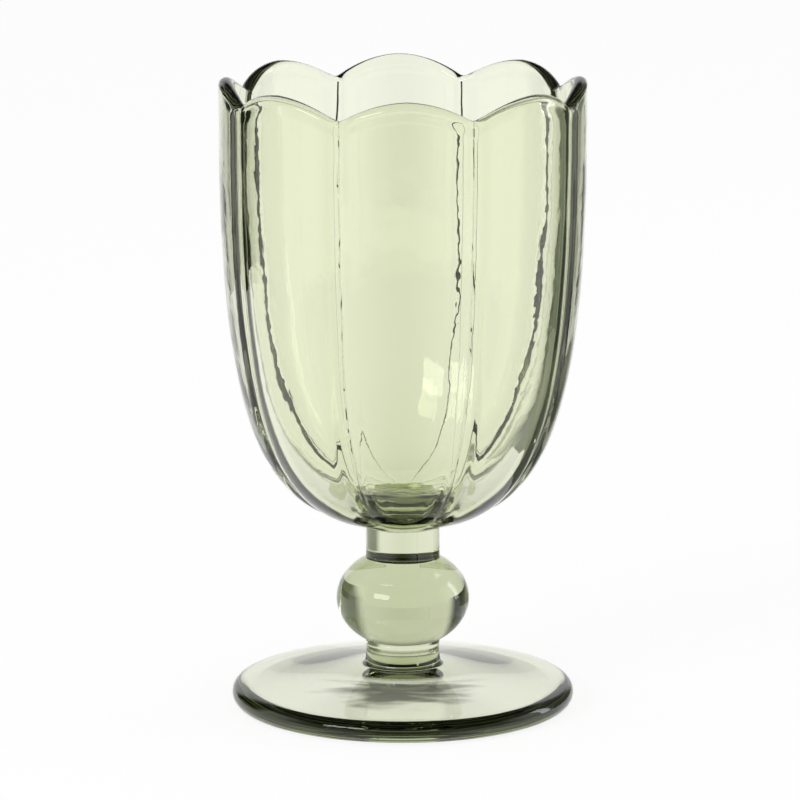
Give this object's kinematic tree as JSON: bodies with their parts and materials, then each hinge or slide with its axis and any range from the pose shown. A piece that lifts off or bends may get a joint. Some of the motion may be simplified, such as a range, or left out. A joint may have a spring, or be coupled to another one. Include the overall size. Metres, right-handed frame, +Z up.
{
  "type": "stemmed glass",
  "caption": "Heavy pressed-glass goblet in pale green: lobed bowl with a scalloped rim on a short neck, ball knop, collar and round foot.",
  "frame": {"origin": "centre of the foot's underside, on the surface that the glass stands on", "axes": "+Z up along the stem, -Y towards the viewer of the picture, +X to the viewer's right"},
  "size_m": [0.0896, 0.0896, 0.155],
  "materials": {
    "pressed_green_glass": "smooth, fire-polished"
  },
  "bodies": {
    "root": {"foot": "pressed_green_glass", "collar": "pressed_green_glass", "knop": "pressed_green_glass", "neck": "pressed_green_glass", "bowl": "pressed_green_glass"}
  },
  "joints": []
}
